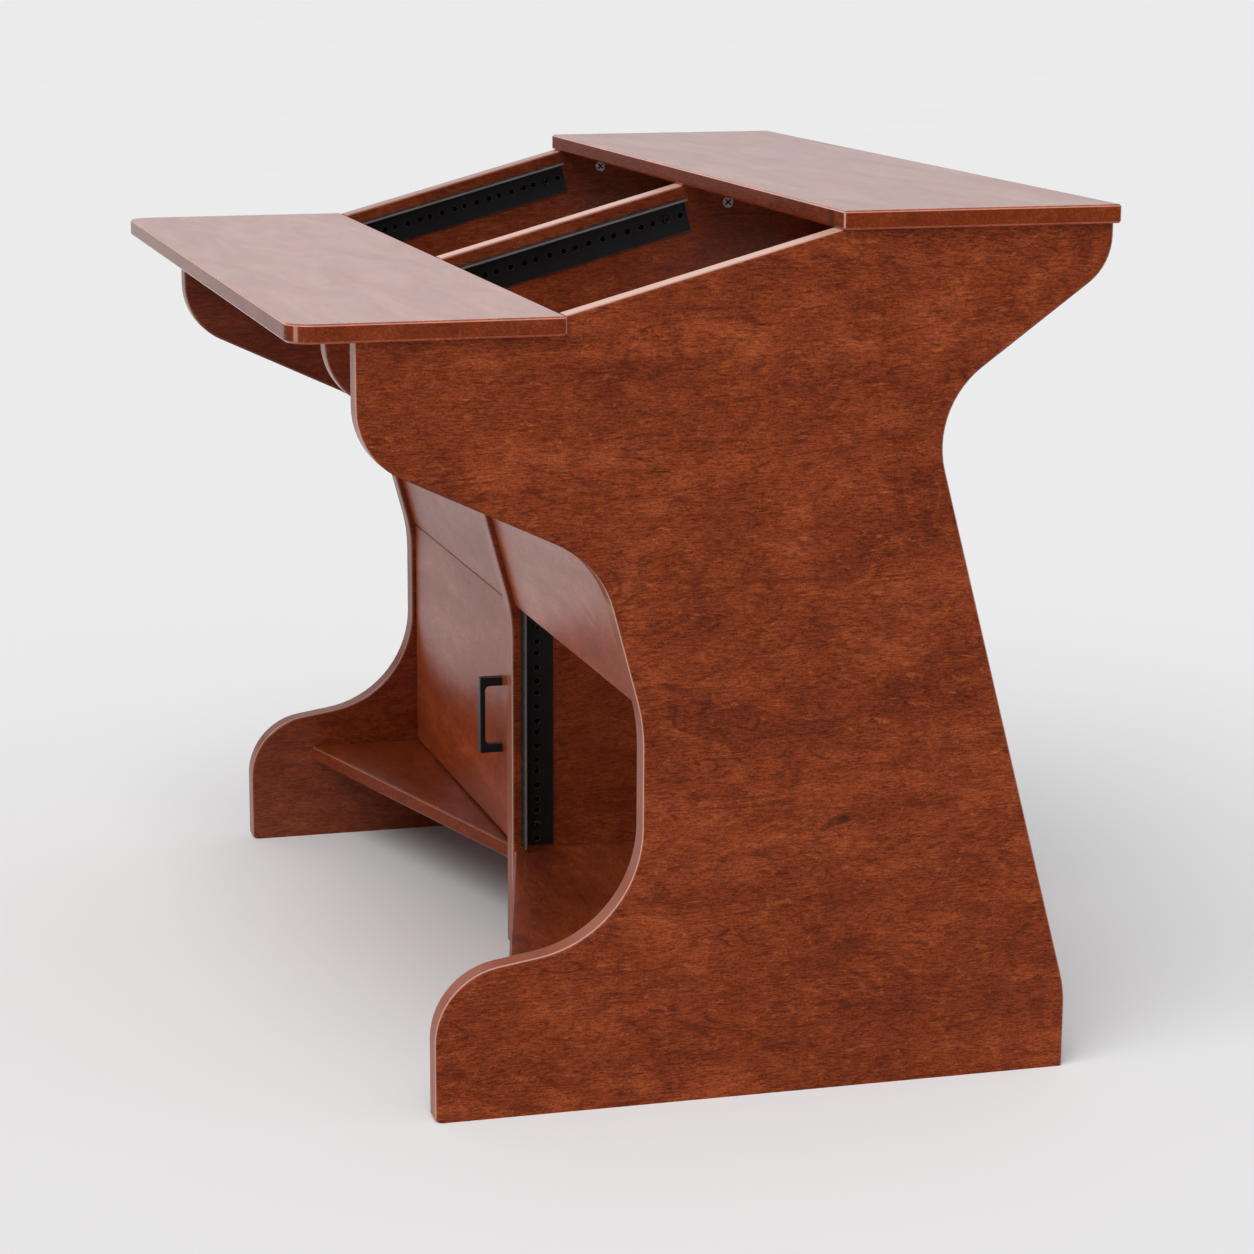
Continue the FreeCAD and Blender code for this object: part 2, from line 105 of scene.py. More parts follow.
# Stained wood, as linear colours
wood_light = (0.275, 0.052, 0.0150, 1.0)
wood_mid = (0.190, 0.031, 0.0085, 1.0)
wood_dark = (0.095, 0.014, 0.0050, 1.0)
wood_glow = (0.330, 0.072, 0.0180, 1.0)
wood_knot = (0.022, 0.006, 0.0035, 1.0)
wood_even = (0.175, 0.0290, 0.0085, 1.0)
# Pale colour of the painted highlights on arrises, level edges high up and rounded corners
wood_highlight = (0.85, 0.520, 0.420, 1.0)
wood_line = (0.055, 0.009, 0.0040, 1.0)
pale_fibre = (1.62, 1.8, 1.9, 1.0)
deep_fibre = (0.50, 0.45, 0.40, 1.0)

# Veneer: each board takes its own place in the noises by these steps
veneer_steps = (1.7, 2.3, 3.1)
figure_waves = Waves(5.0, 22.0, 5.0, 0.8)
blotch_waves = Waves(14.0, 20.0, 4.0, 0.8)
dark_to_mid = Band(0.26, 0.5)
mid_to_light = Band(0.48, 0.66)
patch_waves = Waves(14.0, 24.0, 4.0, 2.2)
patch_band = Band(0.52, 0.66, 0.42)
glow_band = Band(0.30, 0.43, 0.35)
fleck_waves = Waves(55.0, 150.0, 2.0, 1.0)
fleck_band = Band(0.60, 0.72, 0.5)
fibre_waves = Waves(95.0, 680.0, 3.0, 1.0)
speck_waves = Waves(450.0, 900.0, 2.0, 1.6)
fine_band = Band(0.37, 0.63)
streak_waves = Waves(3.0, 75.0, 3.0, 1.6)
streak_band = Band(0.58, 0.72, 0.4)
growth_waves = Waves(3.5, 22.0, 2.0, 0.9)
growth_lines = 14.0
line_band = Band(0.02, 0.14)
curl_waves = Waves(18.0, 50.0, 2.0, 1.0)
curl_band = Band(0.44, 0.58, 0.5)
knot_cells = 14.0
knot_band = Band(0.03, 0.09, 0.75)
knot_chance = Band(0.93, 0.94)
fibre_relief = 0.06
fibre_depth = 0.0003

# Lacquer on faces and edges: a low index shines at a glancing view and hardly else; the share is how much
# of the colour covers the figure; the last two are shares of a painted highlight on level edges high up
# and on rounded corners
Lacquer = namedtuple("Lacquer", "index satin coat colour share rub corner",
                     defaults=(0.28, 1.0, wood_even, 0.0, 0.0, 0.0))
face_lacquer = Lacquer(1.12)
top_lacquer = Lacquer(1.30, satin=0.22)
inner_lacquer = Lacquer(1.23)
shelf_lacquer = Lacquer(1.28)
near_knee_lacquer = Lacquer(1.14)
knee_lacquer = Lacquer(1.10)
# Edging of the left panel, darker as painted shade
shaded_edging = Lacquer(1.1, 0.2, 0.4, (0.22, 0.080, 0.052, 1.0), 0.8, rub=0.2)
upright_edging = Lacquer(1.1, 0.2, 0.4, (0.33, 0.112, 0.070, 1.0), 0.8, rub=0.7)
desk_edging = Lacquer(1.08, 0.12, 0.4, (0.165, 0.030, 0.012, 1.0), 0.4, corner=0.35)
board_edging = Lacquer(1.05, 0.08, 0.1, (0.190, 0.034, 0.010, 1.0), 0.4, corner=0.5)
shelf_edging = Lacquer(1.1, 0.30, 0.1, (0.170, 0.036, 0.015, 1.0), 0.4)
roughest_satin = 1.3
thinnest_coat = 0.65
coat_band = Band(0.3, 0.7)

# Painted highlights: bands of a normal's part along an axis, of a height in metres, and of the depth of an
# arris
sloping_in = Band(0.25, 0.5)
sloping_out = Band(0.85, 0.97)
not_below = Band(-0.6, -0.2)
level_band = Band(0.8, 0.93)
highlight_heights = Band(0.55, 0.62)
corner_highlight_band = Band(0.6, 0.68)
arris_depth = 0.0022
stain_wrap = Band(0.4 * arris_depth, 0.7 * arris_depth)

# Black paint, and the bare metal where it is worn, also standing in as a painted highlight along the rails'
# arrises
black_paint = ((0.0045, 0.005, 0.006, 1.0), (0.008, 0.009, 0.011, 1.0))
bare_and_lit_metal = ((0.10, 0.095, 0.09, 1.0), (0.22, 0.21, 0.20, 1.0))
paint_grain = Waves(900.0, 900.0, 2.0)
paint_cloud = Waves(25.0, 25.0, 3.0)
paint_satin = (0.32, 0.44)
paint_relief = 0.15
paint_depth = 0.0002
paint_shine = 0.4

# Plated metal, moulded plastic, and the near-black painted shade inside holes and recesses
zinc_tones = ((0.42, 0.42, 0.41, 1.0), (0.78, 0.78, 0.76, 1.0))
zinc_satin = (0.2, 0.38)
steel_tones = ((0.42, 0.42, 0.42, 1.0), (0.6, 0.6, 0.6, 1.0))
steel_satin = (0.2, 0.35)
brush_waves = Waves(300.0, 2500.0, 2.0)
plastic_tones = ((0.05, 0.035, 0.028, 1.0), (0.085, 0.06, 0.05, 1.0))
plastic_satin = (0.45, 0.62)
plastic_waves = Waves(400.0, 400.0, 3.0)
shade_tones = ((0.0006, 0.0006, 0.0006, 1.0), (0.0015, 0.0015, 0.0015, 1.0))
shade_waves = Waves(500.0, 500.0, 2.0)
shade_roughness = 0.9

# Rounding of the arrises, in metres and degrees
millimetre = 0.001
wood_round = 0.4 * millimetre
metal_round = 0.4 * millimetre
rail_round = 0.5 * millimetre
round_segments = 2
round_angle = 25.0
weld_distance = 0.002 * millimetre
flat_angle = 0.5
edge_facing = 0.5

# Rails: the 19 inch standard and the angle's sizes, in metres
rack_tilt = math.atan2(0.071, 0.2635)
upright_tilt = math.pi / 2
rack_unit = 44.45 * millimetre
unit_holes = (6.35 * millimetre, 22.225 * millimetre, 38.1 * millimetre)
bay_middle = 255.5 * millimetre
rail_width = 18.0 * millimetre
rail_depth = 36.0 * millimetre
rail_sheet = 2.0 * millimetre
rail_hole_radius = 2.5 * millimetre
side_hole_radius = 3.1 * millimetre
side_hole_depth = 17.5 * millimetre
hole_inset = 10.45 * millimetre
# Thickness of the near-black sheet of painted shade behind the side holes
shade_sheet = 0.3 * millimetre
hole_count = 20

# Fasteners, in metres; the dome is given by shares of a head's radius and height
Cross = namedtuple("Cross", "reach half_width depth")
Screw = namedtuple("Screw", "shank_radius head_radius head_height")
turned_count = 24
cam_radius = 6.0 * millimetre
cam_rim = 0.5 * millimetre
cam_cross = Cross(4.2 * millimetre, 0.75 * millimetre, 1.3 * millimetre)
rail_screw = Screw(2.0 * millimetre, 4.6 * millimetre, 2.2 * millimetre)
handle_screw = Screw(2.0 * millimetre, 4.0 * millimetre, 2.4 * millimetre)
dome = ((1.0, 0.0), (1.0, 0.35), (0.93, 0.7), (0.78, 0.92), (0.62, 1.0))
cross_reach_share = 0.5
cross_width_share = 0.13
cross_depth_share = 0.6

# Catch, in metres
pole_proud = 0.4 * millimetre
pole_spacing = 3.4 * millimetre
pole_thickness = 1.6 * millimetre
pole_depth = 12.0 * millimetre
pole_margin = 5.0 * millimetre


# Shader helpers
def new_material(name):
    """Material with an empty node tree but for its output and main shader."""
    material = bpy.data.materials.new(name)
    material.use_nodes = True
    tree = material.node_tree
    return material, tree, tree.nodes["Principled BSDF"]


def put(tree, kind, linked=None, fixed=None, **settings):
    """Adds a node with its settings, its fixed inputs and its linked inputs."""
    node = tree.nodes.new(kind)
    for name, value in settings.items():
        setattr(node, name, value)
    for name, value in (fixed or {}).items():
        node.inputs[name].default_value = value
    for name, socket in (linked or {}).items():
        tree.links.new(socket, node.inputs[name])
    return node


def feed(tree, value, target):
    """Gives an input its value, which is a socket or a fixed value."""
    if hasattr(value, "links"):
        tree.links.new(value, target)
    else:
        target.default_value = value


def object_place(tree):
    """Place on an object, in its own frame."""
    return put(tree, "ShaderNodeTexCoord").outputs["Object"]


def parts_of(tree, vector):
    """Parts of a vector along X, Y and Z."""
    return put(tree, "ShaderNodeSeparateXYZ", {"Vector": vector}).outputs


def mapped(tree, factor, start, end, low, high, kind="LINEAR"):
    """Value that goes from low to high while the factor goes from start to end."""
    limits = {"From Min": start, "From Max": end, "To Min": low, "To Max": high}
    node = put(tree, "ShaderNodeMapRange", {"Value": factor}, limits, interpolation_type=kind)
    return node.outputs["Result"]


def rising(tree, factor, band):
    """Value that rises smoothly over a band, from 0 to the band's share."""
    return mapped(tree, factor, band.low, band.high, 0.0, band.share, "SMOOTHSTEP")


def falling(tree, factor, band):
    """Value that falls smoothly over a band, from the band's share to 0."""
    return mapped(tree, factor, band.low, band.high, band.share, 0.0, "SMOOTHSTEP")


def blend(tree, factor, first, second, mode="MIX"):
    """Mixes two colours by a factor, each of them a socket or a fixed value."""
    node = put(tree, "ShaderNodeMixRGB", blend_type=mode)
    for name, value in (("Fac", factor), ("Color1", first), ("Color2", second)):
        feed(tree, value, node.inputs[name])
    return node.outputs["Color"]


def arithmetic(tree, operation, first, second=0.0):
    """Result of an operation on two values, or on the first where it needs only one."""
    node = put(tree, "ShaderNodeMath", operation=operation)
    for index, value in enumerate((first, second)):
        feed(tree, value, node.inputs[index])
    return node.outputs["Value"]


def product(tree, first, second):
    return arithmetic(tree, "MULTIPLY", first, second)


def mean(tree, first, second):
    return product(tree, arithmetic(tree, "ADD", first, second), 0.5)


def distance(tree, first, second):
    return arithmetic(tree, "ABSOLUTE", arithmetic(tree, "SUBTRACT", first, second))


def noise(tree, place, waves, grain="X", offset=(0.0, 0.0, 0.0)):
    """Noise drawn out along the grain axis."""
    scale = [waves.across, waves.across, waves.across]
    scale["XYZ".index(grain)] = waves.along
    mapping = put(tree, "ShaderNodeMapping", {"Vector": place}, {"Scale": scale, "Location": offset})
    texture = put(tree, "ShaderNodeTexNoise", {"Vector": mapping.outputs["Vector"]},
                  {"Scale": 1.0, "Detail": waves.detail, "Roughness": noise_roughness,
                   "Distortion": waves.distortion})
    return texture.outputs["Fac"]


def raise_surface(tree, shader, height, relief, depth):
    """Fine relief of a surface."""
    bump = put(tree, "ShaderNodeBump", {"Height": height}, {"Strength": relief, "Distance": depth})
    tree.links.new(bump.outputs["Normal"], shader.inputs["Normal"])


# Wood
def knots(tree, place, grain, face, shift):
    """Mask of the few small knots on a board's face, drawn out along the grain."""
    axes = parts_of(tree, place)
    across = "XYZ".replace(grain, "").replace(face, "")
    flat = put(tree, "ShaderNodeCombineXYZ", {"X": axes[grain], "Y": axes[across]})
    mapping = put(tree, "ShaderNodeMapping", {"Vector": flat.outputs["Vector"]},
                  {"Scale": (knot_cells / 2, knot_cells, 1.0), "Location": (shift, shift, 0.0)})
    cells = put(tree, "ShaderNodeTexVoronoi", {"Vector": mapping.outputs["Vector"]}, {"Scale": 1.0},
                voronoi_dimensions="2D")
    chance = put(tree, "ShaderNodeSeparateColor", {"Color": cells.outputs["Color"]}).outputs["Red"]
    spot = falling(tree, cells.outputs["Distance"], knot_band)
    return product(tree, spot, rising(tree, chance, knot_chance))


def growth_line_mask(tree, growth, curl):
    """Mask of the thin growth lines, where the veneer curls."""
    rings = arithmetic(tree, "FRACT", product(tree, growth, growth_lines))
    ridge = distance(tree, rings, 0.5)
    return product(tree, falling(tree, ridge, line_band), rising(tree, curl, curl_band))


def veneer(tree, place, grain, face, shift):
    """Colour of the stained veneer, the height of its fibres and its broad figure."""
    offset = [shift * step for step in veneer_steps]
    figure = noise(tree, place, figure_waves, grain, offset)
    blotch = noise(tree, place, blotch_waves, grain, offset)
    patch = noise(tree, place, patch_waves, grain, offset)
    fleck = noise(tree, place, fleck_waves, grain, offset)
    growth = noise(tree, place, growth_waves, grain, offset)
    curl = noise(tree, place, curl_waves, grain, offset)
    fibre = noise(tree, place, fibre_waves, grain, offset)
    speck = noise(tree, place, speck_waves, grain, offset)
    streak = noise(tree, place, streak_waves, grain, offset)

    broad = mean(tree, figure, blotch)
    colour = blend(tree, rising(tree, broad, dark_to_mid), wood_dark, wood_mid)
    colour = blend(tree, rising(tree, broad, mid_to_light), colour, wood_light)
    colour = blend(tree, rising(tree, patch, patch_band), colour, wood_dark)
    colour = blend(tree, falling(tree, patch, glow_band), colour, wood_glow)
    colour = blend(tree, rising(tree, fleck, fleck_band), colour, wood_glow)
    fine = rising(tree, mean(tree, fibre, speck), fine_band)
    pale = blend(tree, 1.0, colour, pale_fibre, "MULTIPLY")
    deep = blend(tree, 1.0, colour, deep_fibre, "MULTIPLY")
    colour = blend(tree, fine, deep, pale)
    colour = blend(tree, rising(tree, streak, streak_band), colour, wood_dark)
    colour = blend(tree, growth_line_mask(tree, growth, curl), colour, wood_line)
    colour = blend(tree, knots(tree, place, grain, face, shift), colour, wood_knot)
    return colour, fibre, figure


def arris_highlight_mask(tree, place, normal, face, span):
    """Painted highlight on a board's eased arrises, none where they look down; the stain wraps half round
    them.
    """
    facing = arithmetic(tree, "ABSOLUTE", normal[face])
    sloping = product(tree, rising(tree, facing, sloping_in), falling(tree, facing, sloping_out))
    off_middle = distance(tree, place[face], sum(span) / 2)
    depth = arithmetic(tree, "SUBTRACT", (span[1] - span[0]) / 2, off_middle)
    eased = product(tree, sloping, rising(tree, depth, stain_wrap))
    return product(tree, eased, rising(tree, normal["Z"], not_below))


def with_painted_highlights(tree, colour, coordinates, face, span, arris_highlight_share, lacquer):
    """Colour with a pale painted highlight on arrises, on level edges high up and on rounded corners."""
    place = parts_of(tree, coordinates.outputs["Object"])
    normal = parts_of(tree, coordinates.outputs["Normal"])
    arris = arris_highlight_mask(tree, place, normal, face, span)
    # Level edges high up get a painted highlight, as if lit from above
    lit_level_edges = product(tree, rising(tree, normal["Z"], level_band), rising(tree, place["Z"], highlight_heights))
    sideways = arithmetic(tree, "ABSOLUTE", normal["X"])
    endways = arithmetic(tree, "ABSOLUTE", normal["Y"])
    # Rounded corners get a painted highlight where they face between X and Y
    corner = rising(tree, arithmetic(tree, "MINIMUM", sideways, endways), corner_highlight_band)
    for mask, share in ((arris, arris_highlight_share), (lit_level_edges, lacquer.rub), (corner, lacquer.corner)):
        colour = blend(tree, product(tree, mask, share), colour, wood_highlight)
    return colour


def wood(name, grain, face, span, shift, tone, calm, arris_highlight_share, lacquer):
    """Stained veneer under satin lacquer.

    The face is the axis across the board and the span its limits there. Tone lightens the stain, and between
    boards it is partly painted light and shade; calm is the share of an even stain over the figure.
    """
    material, tree, shader = new_material(name)
    coordinates = put(tree, "ShaderNodeTexCoord")
    colour, fibre, figure = veneer(tree, coordinates.outputs["Object"], grain, face, shift)
    colour = blend(tree, calm, colour, wood_even)
    colour = blend(tree, 1.0, colour, (tone, tone, tone, 1.0), "MULTIPLY")
    colour = blend(tree, lacquer.share, colour, lacquer.colour)
    colour = with_painted_highlights(tree, colour, coordinates, face, span, arris_highlight_share, lacquer)
    tree.links.new(colour, shader.inputs["Base Color"])

    rough = mapped(tree, fibre, 0.0, 1.0, lacquer.satin, roughest_satin * lacquer.satin)
    tree.links.new(rough, shader.inputs["Roughness"])
    raise_surface(tree, shader, fibre, fibre_relief, fibre_depth)
    gloss = mapped(tree, figure, coat_band.low, coat_band.high, thinnest_coat * lacquer.coat, lacquer.coat)
    tree.links.new(gloss, shader.inputs["Coat Weight"])
    shader.inputs["IOR"].default_value = lacquer.index
    shader.inputs["Coat IOR"].default_value = lacquer.index
    shader.inputs["Coat Roughness"].default_value = lacquer.satin
    return material


# Metals and plastic
def mottled(tree, shader, factor, tones, satin):
    """Colour and roughness that both follow a noise."""
    tree.links.new(blend(tree, factor, *tones), shader.inputs["Base Color"])
    tree.links.new(mapped(tree, factor, 0.0, 1.0, *satin), shader.inputs["Roughness"])


def paint(name, tones):
    material, tree, shader = new_material(name)
    place = object_place(tree)
    mottled(tree, shader, noise(tree, place, paint_cloud), tones, paint_satin)
    raise_surface(tree, shader, noise(tree, place, paint_grain), paint_relief, paint_depth)
    shader.inputs["Specular IOR Level"].default_value = paint_shine
    return material


def plated(name, tones, satin):
    material, tree, shader = new_material(name)
    mottled(tree, shader, noise(tree, object_place(tree), brush_waves, "Z"), tones, satin)
    shader.inputs["Metallic"].default_value = 1.0
    return material


def moulded(name):
    material, tree, shader = new_material(name)
    mottled(tree, shader, noise(tree, object_place(tree), plastic_waves), plastic_tones, plastic_satin)
    return material


def painted_shade(name):
    material, tree, shader = new_material(name)
    mottle = noise(tree, object_place(tree), shade_waves)
    tree.links.new(blend(tree, mottle, *shade_tones), shader.inputs["Base Color"])
    shader.inputs["Roughness"].default_value = shade_roughness
    shader.inputs["Specular IOR Level"].default_value = 0.0
    return material


rail_paint = paint("rail_paint", black_paint)
worn_and_lit_paint = paint("worn_and_lit_paint", bare_and_lit_metal)
handle_paint = paint("handle_paint", black_paint)
hole_shade = painted_shade("hole_shade")
zinc = plated("zinc", zinc_tones, zinc_satin)
steel = plated("ground_steel", steel_tones, steel_satin)
plastic = moulded("catch_plastic")


# Dressed copies of the solids
def joined_copy(node):
    """Mesh of a node with its triangles joined to whole faces and all of it shaded smooth."""
    work = bmesh.new()
    work.from_mesh(frame["nodes"][node].data)
    bmesh.ops.remove_doubles(work, verts=work.verts, dist=weld_distance)
    bmesh.ops.dissolve_limit(work, angle_limit=math.radians(flat_angle), verts=work.verts, edges=work.edges)
    for face in work.faces:
        face.smooth = True
    for edge in work.edges:
        edge.smooth = True
    mesh = bpy.data.meshes.new(node + "_finish")
    work.to_mesh(mesh)
    work.free()
    mesh.normals_split_custom_set([(0.0, 0.0, 0.0)] * len(mesh.loops))
    return mesh


def add_piece(mesh, nodes, materials, rounding):
    """Object that stands for solids of one body, with rounded arrises."""
    piece = bpy.data.objects.new(mesh.name, mesh)
    bpy.context.scene.collection.objects.link(piece)
    for material in materials:
        mesh.materials.append(material)
    if rounding > 0:
        bevel = piece.modifiers.new("arris", "BEVEL")
        bevel.width = rounding
        bevel.segments = round_segments
        bevel.limit_method = "ANGLE"
        bevel.angle_limit = math.radians(round_angle)
        bevel.use_clamp_overlap = True
    solid = frame["nodes"][nodes[0]]
    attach(piece, solid["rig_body"])
    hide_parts(*nodes)
    return piece


def dress(node, materials, rounding, face=0):
    """Finished copy of a node; a second material goes on the faces that don't look along the face axis."""
    mesh = joined_copy(node)
    piece = add_piece(mesh, [node], materials, rounding)
    if len(materials) > 1:
        for polygon in mesh.polygons:
            polygon.material_index = int(abs(polygon.normal[face]) < edge_facing)
    weighted = piece.modifiers.new("shading", "WEIGHTED_NORMAL")
    weighted.keep_sharp = False
    return piece


def dress_wood(node, grain, face, shift, tone, calm, arris_highlight, lacquer, edging):
    """Board with its grain along one axis, its face across another, and edged all round."""
    axis = "XYZ".index(face)
    span = [corner[axis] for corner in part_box(node)]
    veneered = wood(node + "_face", grain, face, span, shift, tone, calm, arris_highlight, lacquer)
    edged = wood(node + "_edge", grain, face, span, shift + 0.5, 1.0, 0.0, arris_highlight, edging)
    dress(node, [veneered, edged], wood_round, axis)


# Pieces made anew where the solid stands in for a finer form
def finished_mesh(work, name):
    """Mesh of a finished form, its faces looking outwards."""
    bmesh.ops.recalc_face_normals(work, faces=work.faces)
    mesh = bpy.data.meshes.new(name)
    work.to_mesh(mesh)
    work.free()
    return mesh


def loop_edges(work, corners):
    """Closed loop of edges through corners."""
    return [work.edges.new((corners[index - 1], corners[index])) for index in range(len(corners))]


def point_loop(work, points):
    """Closed loop of edges through points."""
    return loop_edges(work, [work.verts.new(point) for point in points])


def circle(centre, first, second, radius, count):
    """Points round a centre in the plane of two directions."""
    turns = [2 * math.pi * index / count for index in range(count)]
    return [centre + (first * math.cos(turn) + second * math.sin(turn)) * radius for turn in turns]


def cross_points(centre, first, second, recess):
    """Corners of a plus sign in the plane of two directions."""
    reach = recess.reach
    half_width = recess.half_width
    quarter = [(reach, -half_width), (reach, half_width), (half_width, half_width)]
    corners = []
    for turn in range(4):
        for a, b in quarter:
            for step in range(turn):
                a, b = -b, a
            corners.append(centre + first * a + second * b)
    return corners


def thick_plate(work, outline, holes, normal, thickness, material_index, rim_index):
    """Plate with holes cut through it, grown from its outline along the normal; its rim faces apart."""
    rim = point_loop(work, outline)
    edges = list(rim)
    for hole in holes:
        edges += point_loop(work, hole)
    filled = bmesh.ops.triangle_fill(work, use_beauty=True, use_dissolve=False, edges=edges)
    faces = [item for item in filled["geom"] if isinstance(item, bmesh.types.BMFace)]
    grown = bmesh.ops.extrude_face_region(work, geom=faces, use_keep_orig=True)
    moved = [item for item in grown["geom"] if isinstance(item, bmesh.types.BMVert)]
    bmesh.ops.translate(work, verts=moved, vec=normal * thickness)
    sides = {face for vertex in moved for face in vertex.link_faces}
    for face in list(sides) + faces:
        face.material_index = material_index
    for edge in rim:
        for face in set(edge.link_faces) - set(faces):
            face.material_index = rim_index


def box_between(work, low, high, material_index):
    """Block between two corners."""
    size = high - low
    middle = (low + high) / 2
    place = Matrix.Translation(middle) @ Matrix.Diagonal((size.x, size.y, size.z, 1.0))
    made = bmesh.ops.create_cube(work, size=1.0, matrix=place)
    for face in {face for vertex in made["verts"] for face in vertex.link_faces}:
        face.material_index = material_index


def islands(node):
    """Boxes of the separate bodies of a node, each as its low and high corner."""
    work = bmesh.new()
    work.from_mesh(frame["nodes"][node].data)
    bmesh.ops.remove_doubles(work, verts=work.verts, dist=weld_distance)
    boxes = []
    left = set(work.verts)
    while left:
        group = set()
        edge_of_group = {left.pop()}
        while edge_of_group:
            vertex = edge_of_group.pop()
            group.add(vertex)
            edge_of_group |= {edge.other_vert(vertex) for edge in vertex.link_edges} - group
        left -= group
        low = Vector([min(vertex.co[axis] for vertex in group) for axis in range(3)])
        high = Vector([max(vertex.co[axis] for vertex in group) for axis in range(3)])
        boxes.append((low, high))
    work.free()
    return boxes


def turned_body(work, seat, axis, rings, recess):
    """Round body through (radius, height) rings along an axis, closed below, with a cross recess on top."""
    first = axis.orthogonal().normalized()
    second = axis.cross(first)
    levels = []
    for radius, height in rings:
        points = circle(seat + axis * height, first, second, radius, turned_count)
        levels.append([work.verts.new(point) for point in points])
    work.faces.new(levels[0])
    for low, high in zip(levels, levels[1:]):
        for index in range(turned_count):
            face = work.faces.new((low[index - 1], low[index], high[index], high[index - 1]))
            face.smooth = True
    top = seat + axis * rings[-1][1]
    rim = [work.edges.get((levels[-1][index - 1], levels[-1][index])) for index in range(turned_count)]
    mouth = [work.verts.new(point) for point in cross_points(top, first, second, recess)]
    floor = [work.verts.new(vertex.co - axis * recess.depth) for vertex in mouth]
    edges = rim + loop_edges(work, mouth)
    bmesh.ops.triangle_fill(work, use_beauty=True, use_dissolve=False, edges=edges)
    for index in range(len(mouth)):
        # The recess's walls and floor take the second material, near-black painted shade
        wall = work.faces.new((mouth[index - 1], mouth[index], floor[index], floor[index - 1]))
        wall.material_index = 1
    work.faces.new(floor).material_index = 1


def towards_bay(x):
    """Direction from an upright's inner face into the bay that a place belongs to."""
    bay_centre = math.copysign(bay_middle, x)
    return Vector((math.copysign(1.0, bay_centre - x), 0.0, 0.0))


def cam_locks():
    """Round bodies of the cam locks, each with a narrow rim and a cross recess."""
    work = bmesh.new()
    for low, high in islands("cam_locks"):
        middle = (low + high) / 2
        axis = towards_bay(middle.x)
        depth = high.x - low.x
        rings = [(cam_radius, 0.0), (cam_radius, depth - cam_rim), (cam_radius - cam_rim, depth)]
        turned_body(work, middle - axis * depth / 2, axis, rings, cam_cross)
    mesh = finished_mesh(work, "cam_lock_bodies")
    add_piece(mesh, ["cam_locks"], [zinc, hole_shade], 0.0)


def pan_screw(work, start, axis, length, screw):
    """Screw with a domed head, from the end of its shank."""
    seat = length - screw.head_height
    rings = [(screw.shank_radius, 0.0), (screw.shank_radius, seat)]
    for radius_share, height_share in dome:
        rings.append((radius_share * screw.head_radius, seat + height_share * screw.head_height))
    recess = Cross(cross_reach_share * screw.head_radius, cross_width_share * screw.head_radius,
                   cross_depth_share * screw.head_height)
    turned_body(work, start, axis, rings, recess)


def rail_screws():
    """Screws of the rails, heads towards the bay."""
    work = bmesh.new()
    for low, high in islands("rack_rail_screws"):
        middle = (low + high) / 2
        axis = towards_bay(middle.x)
        length = high.x - low.x
        pan_screw(work, middle - axis * length / 2, axis, length, rail_screw)
    mesh = finished_mesh(work, "rail_screw_bodies")
    add_piece(mesh, ["rack_rail_screws"], [rail_paint, hole_shade], 0.0)


def handle_screws():
    """Screws of the door's handle, heads on the door's back."""
    work = bmesh.new()
    axis = Vector((0.0, 1.0, 0.0))
    for low, high in islands("handle_screws"):
        middle = (low + high) / 2
        length = high.y - low.y
        pan_screw(work, middle - axis * length / 2, axis, length, handle_screw)
    mesh = finished_mesh(work, "handle_screw_bodies")
    add_piece(mesh, ["handle_screws"], [zinc, hole_shade], 0.0)


def hole_heights(length):
    """Places of the standard's holes along a rail, its whole units in the middle."""
    units = int(length // rack_unit)
    first = (length - units * rack_unit) / 2
    return [first + unit * rack_unit + hole for unit in range(units) for hole in unit_holes]


def rack_rail(node, tilt):
    """Steel angle with round holes; those against the upright end on a near-black sheet of painted shade."""
    painted, shaded, bare_and_lit = range(3)
    low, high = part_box(node)
    side = towards_bay((low.x + high.x) / 2)
    face = low.x if side.x > 0 else high.x
    along = Vector((0.0, math.cos(tilt), math.sin(tilt)))
    inward = Vector((0.0, math.sin(tilt), -math.cos(tilt)))
    length = high.z - low.z
    if tilt != upright_tilt:
        length = (high.y - low.y - rail_depth * inward.y) / along.y
    start = Vector((face, low.y, low.z - rail_depth * inward.z))
    heights = hole_heights(length)
    work = bmesh.new()

    corner = start + side * rail_width
    front = [start, corner, corner + along * length, start + along * length]
    row = start + side * hole_inset
    holes = [circle(row + along * height, side, along, rail_hole_radius, hole_count) for height in heights]
    thick_plate(work, front, holes, inward, rail_sheet, painted, bare_and_lit)

    near = start + inward * rail_sheet + side * shade_sheet
    depth = inward * (rail_depth - rail_sheet)
    flank = [near, near + depth, near + depth + along * length, near + along * length]
    row = start + inward * side_hole_depth + side * shade_sheet
    holes = [circle(row + along * height, inward, along, side_hole_radius, hole_count) for height in heights]
    thick_plate(work, flank, holes, side, rail_sheet - shade_sheet, painted, bare_and_lit)
    # Near-black sheet of painted shade behind the side holes
    thick_plate(work, [point - side * shade_sheet for point in flank], [], side, shade_sheet, shaded, shaded)

    mesh = finished_mesh(work, node + "_angle")
    piece = add_piece(mesh, [node], [rail_paint, hole_shade, worn_and_lit_paint], rail_round)
    # The bevelled arrises take the pale worn metal, partly a painted highlight
    piece.modifiers["arris"].material = bare_and_lit


def catch():
    """Magnetic catch: a moulded case with two pole plates in its face."""
    low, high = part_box("magnetic_catch")
    work = bmesh.new()
    case_low = low + Vector((0.0, pole_proud, 0.0))
    box_between(work, case_low, high, 0)
    middle = (low.x + high.x) / 2
    for x in (middle - pole_spacing, middle + pole_spacing):
        plate_low = Vector((x - pole_thickness / 2, low.y, low.z + pole_margin))
        plate_high = Vector((x + pole_thickness / 2, low.y + pole_depth, high.z - pole_margin))
        box_between(work, plate_low, plate_high, 1)
    add_piece(finished_mesh(work, "catch_body"), ["magnetic_catch"], [plastic, steel], metal_round)
